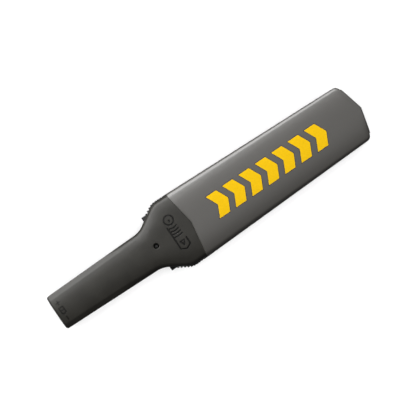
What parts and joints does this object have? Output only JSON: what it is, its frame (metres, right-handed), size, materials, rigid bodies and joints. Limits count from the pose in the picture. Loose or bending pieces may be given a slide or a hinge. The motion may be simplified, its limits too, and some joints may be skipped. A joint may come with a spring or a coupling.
{
  "type": "hand-held metal detector wand",
  "caption": "Hand-held metal detector wand with a long flat search paddle, a slim handle, a side power slider and push button, a speaker, and a sliding battery door.",
  "frame": {"origin": "centre of the footprint, on the surface the wand lies on", "axes": "+X along the wand from the handle's butt to the paddle's tip, +Y towards the power slider's side, +Z out of the plain back face"},
  "size_m": [0.42, 0.087, 0.0413],
  "materials": {
    "charcoal_shell": "moulded charcoal plastic with a fine matt texture",
    "grey_cover": "moulded grey plastic, smooth and slightly satin",
    "black_shell": "moulded black plastic with a fine matt texture",
    "black_control": "ribbed black plastic",
    "inner_black": "plain black plastic",
    "battery_wrap": "printed film over the battery",
    "steel": "plated steel",
    "magnet": "plated magnet",
    "cone_paper": "black paper cone",
    "circuit_board": "green solder mask",
    "chip_black": "moulded black",
    "capacitor_can": "sleeved can",
    "trimmer_blue": "blue plastic",
    "brass": "turned brass",
    "lever_white": "white plastic",
    "lens_green": "clear green",
    "lens_amber": "clear amber",
    "lens_red": "clear red",
    "former_plastic": "natural plastic",
    "copper_wire": "enamelled copper winding",
    "wire_red": "red insulation",
    "wire_black": "black insulation"
  },
  "bodies": {
    "root": {"audio_amplifier": "chip_black", "audio_socket": "inner_black", "battery": "battery_wrap", "battery_connector": "chip_black", "battery_cradle": "inner_black", "battery_snap": "inner_black", "battery_terminal_minus": "steel", "battery_terminal_plus": "steel", "board_screw_1": "steel", "board_screw_2": "steel", "board_screw_3": "steel", "board_screw_4": "steel", "capacitor_1": "capacitor_can", "capacitor_2": "capacitor_can", "coil_connector": "chip_black", "coil_driver": "chip_black", "coil_former": "former_plastic", "coil_lead": "wire_black", "former_screw_1": "steel", "former_screw_2": "steel", "former_screw_3": "steel", "former_screw_4": "steel", "front_shell": "black_shell", "lamp_amber": "lens_amber", "lamp_green": "lens_green", "lamp_red": "lens_red", "lead_black": "wire_black", "lead_red": "wire_red", "lens_amber": "lens_amber", "lens_green": "lens_green", "lens_red": "lens_red", "main_board": "circuit_board", "microcontroller": "chip_black", "motor_bracket": "inner_black", "neck_screw": "steel", "paddle_cover": "grey_cover", "rear_shell": "charcoal_shell", "receive_coil_far": "copper_wire", "receive_coil_near": "copper_wire", "slide_switch": "steel", "speaker_frame": "steel", "speaker_magnet": "magnet", "tact_switch": "inner_black", "transmit_coil": "copper_wire", "trimmer_body": "trimmer_blue", "vibration_motor": "steel"},
    "door": {"battery_door": "black_shell"},
    "slider": {"power_slider": "black_control", "switch_lever": "lever_white"},
    "button": {"push_button": "black_control", "button_plunger": "lever_white"},
    "cone": {"speaker_cone": "cone_paper"},
    "weight": {"eccentric_weight": "brass"},
    "trimmer": {"trimmer_rotor": "brass"}
  },
  "joints": [
    {"name": "door_slide", "type": "slide", "parent": "root", "child": "door", "axis": [-1, 0, 0], "range_m": [0, 0.075]},
    {"name": "power_slide", "type": "slide", "parent": "root", "child": "slider", "axis": [0.8409, 0.5412, 0], "range_m": [0, 0.006]},
    {"name": "button_press", "type": "slide", "parent": "root", "child": "button", "axis": [0, 1, 0], "range_m": [0, 0.0015], "stiffness_N_per_m": 800, "springref_m": -0.0005},
    {"name": "cone_travel", "type": "slide", "parent": "root", "child": "cone", "axis": [0, 0, 1], "range_m": [-0.0004, 0.0004], "stiffness_N_per_m": 500},
    {"name": "weight_spin", "type": "hinge", "parent": "root", "child": "weight", "pos_m": [-0.0974, 0, 0.0185], "axis": [1, 0, 0], "continuous": true},
    {"name": "trimmer_turn", "type": "hinge", "parent": "root", "child": "trimmer", "pos_m": [-0.054, 0, 0.0124], "axis": [0, 0, 1], "range_deg": [-135, 135]}
  ]
}
